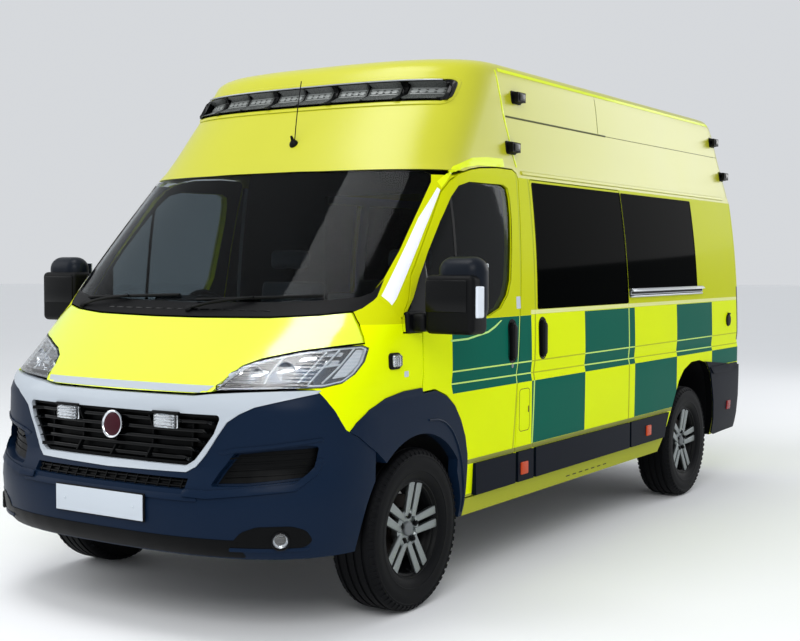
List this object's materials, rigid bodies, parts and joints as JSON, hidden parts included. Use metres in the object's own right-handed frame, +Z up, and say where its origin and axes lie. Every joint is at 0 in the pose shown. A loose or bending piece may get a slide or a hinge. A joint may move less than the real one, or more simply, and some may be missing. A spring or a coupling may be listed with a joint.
{
  "type": "ambulance",
  "caption": "High-roof van ambulance with lime and green chequered sides, hinged cab and rear doors, bonnet, steered front wheels and a fitted saloon.",
  "frame": {"origin": "on the ground, under the middle of the bounding box", "axes": "+Z up, +Y towards the back of the vehicle, +X towards its left side"},
  "size_m": [2.7, 5.4729, 2.65],
  "materials": {
    "body_paint": "gloss",
    "roof_moulding": "satin",
    "underbody_steel": "satin",
    "bumper_plastic": "grained",
    "silver_trim": "satin metallic",
    "black_plastic": "moulded",
    "lamp_lens": "clear",
    "rear_lens": "clear red",
    "windscreen_glass": "tinted",
    "privacy_glass": "black",
    "rail_metal": "anodised",
    "cab_trim": "grained",
    "seat_cloth": "woven",
    "saloon_panel": "satin",
    "stretcher_frame": "satin",
    "engine_metal": "cast",
    "alloy": "painted cast",
    "tyre": "moulded"
  },
  "bodies": {
    "body": {"underbody": "underbody_steel", "arch_liners": "black_plastic", "roof_front": "roof_moulding", "roof": "roof_moulding", "windscreen_pillars": "body_paint", "side_left": "body_paint", "side_right": "body_paint", "wings": "body_paint", "front_bumper": "bumper_plastic", "front_surround": "silver_trim", "grille": "black_plastic", "headlamps": "lamp_lens", "scuttle": "black_plastic", "windscreen": "windscreen_glass", "sliding_door": "body_paint", "side_windows": "privacy_glass", "rear_lamps": "rear_lens", "rear_step": "bumper_plastic", "side_mouldings": "bumper_plastic", "arch_trims": "bumper_plastic", "slide_rail": "rail_metal", "light_bar": "black_plastic", "roof_lamps": "black_plastic", "dashboard": "cab_trim", "seats": "seat_cloth", "bulkhead": "saloon_panel", "stretcher": "stretcher_frame", "lockers": "saloon_panel", "engine": "engine_metal", "fuel_tank": "black_plastic", "exhaust": "engine_metal", "front_suspension": "underbody_steel", "rear_axle": "underbody_steel", "leaf_springs": "underbody_steel"},
    "bonnet": {"bonnet": "body_paint"},
    "cab_door_left": {"cab_door_left": "body_paint", "cab_window_left": "windscreen_glass", "mirror_left": "black_plastic"},
    "cab_door_right": {"cab_door_right": "body_paint", "cab_window_right": "windscreen_glass", "mirror_right": "black_plastic"},
    "rear_door_left": {"rear_door_left": "body_paint", "rear_window_left": "privacy_glass"},
    "rear_door_right": {"rear_door_right": "body_paint", "rear_window_right": "privacy_glass"},
    "steering_wheel": {"steering_wheel": "cab_trim"},
    "knuckle_left": {"knuckle_left": "underbody_steel"},
    "knuckle_right": {"knuckle_right": "underbody_steel"},
    "wheel_front_left": {"wheel_front_left": "alloy", "tyre_front_left": "tyre"},
    "wheel_front_right": {"wheel_front_right": "alloy", "tyre_front_right": "tyre"},
    "wheel_rear_left": {"wheel_rear_left": "alloy", "tyre_rear_left": "tyre"},
    "wheel_rear_right": {"wheel_rear_right": "alloy", "tyre_rear_right": "tyre"}
  },
  "joints": [
    {"name": "steer_left", "type": "hinge", "parent": "body", "child": "knuckle_left", "pos_m": [0.865, -1.7775, 0.368], "axis": [0, 0, 1], "range_deg": [-35, 35]},
    {"name": "steer_right", "type": "hinge", "parent": "body", "child": "knuckle_right", "pos_m": [-0.865, -1.7775, 0.368], "axis": [0, 0, 1], "range_deg": [-35, 35]},
    {"name": "steering_wheel_turn", "type": "hinge", "parent": "body", "child": "steering_wheel", "pos_m": [-0.48, -1.4375, 1.25], "axis": [0, 0.8829, 0.4695], "range_deg": [-525, 525]},
    {"name": "front_left_spin", "type": "hinge", "parent": "knuckle_left", "child": "wheel_front_left", "pos_m": [0.9, -1.7775, 0.368], "axis": [1, 0, 0], "continuous": true},
    {"name": "front_right_spin", "type": "hinge", "parent": "knuckle_right", "child": "wheel_front_right", "pos_m": [-0.9, -1.7775, 0.368], "axis": [1, 0, 0], "continuous": true},
    {"name": "rear_left_spin", "type": "hinge", "parent": "body", "child": "wheel_rear_left", "pos_m": [0.895, 1.6725, 0.368], "axis": [1, 0, 0], "continuous": true},
    {"name": "rear_right_spin", "type": "hinge", "parent": "body", "child": "wheel_rear_right", "pos_m": [-0.895, 1.6725, 0.368], "axis": [1, 0, 0], "continuous": true},
    {"name": "cab_door_left_hinge", "type": "hinge", "parent": "body", "child": "cab_door_left", "pos_m": [1.027, -1.9125, 1.2], "axis": [0, 0, -1], "range_deg": [0, 70]},
    {"name": "cab_door_right_hinge", "type": "hinge", "parent": "body", "child": "cab_door_right", "pos_m": [-1.027, -1.9125, 1.2], "axis": [0, 0, 1], "range_deg": [0, 70]},
    {"name": "rear_door_left_hinge", "type": "hinge", "parent": "body", "child": "rear_door_left", "pos_m": [0.909, 2.7345, 1.2], "axis": [0, 0, -1], "range_deg": [0, 100]},
    {"name": "rear_door_right_hinge", "type": "hinge", "parent": "body", "child": "rear_door_right", "pos_m": [-0.909, 2.7345, 1.2], "axis": [0, 0, 1], "range_deg": [0, 100]},
    {"name": "bonnet_hinge", "type": "hinge", "parent": "body", "child": "bonnet", "pos_m": [0, -2.0675, 1.37], "axis": [-1, 0, 0], "range_deg": [0, 50]}
  ],
  "couplings": [
    {"joint": "steer_right", "follows": "steer_left", "ratio": 1},
    {"joint": "steering_wheel_turn", "follows": "steer_left", "ratio": 15}
  ]
}
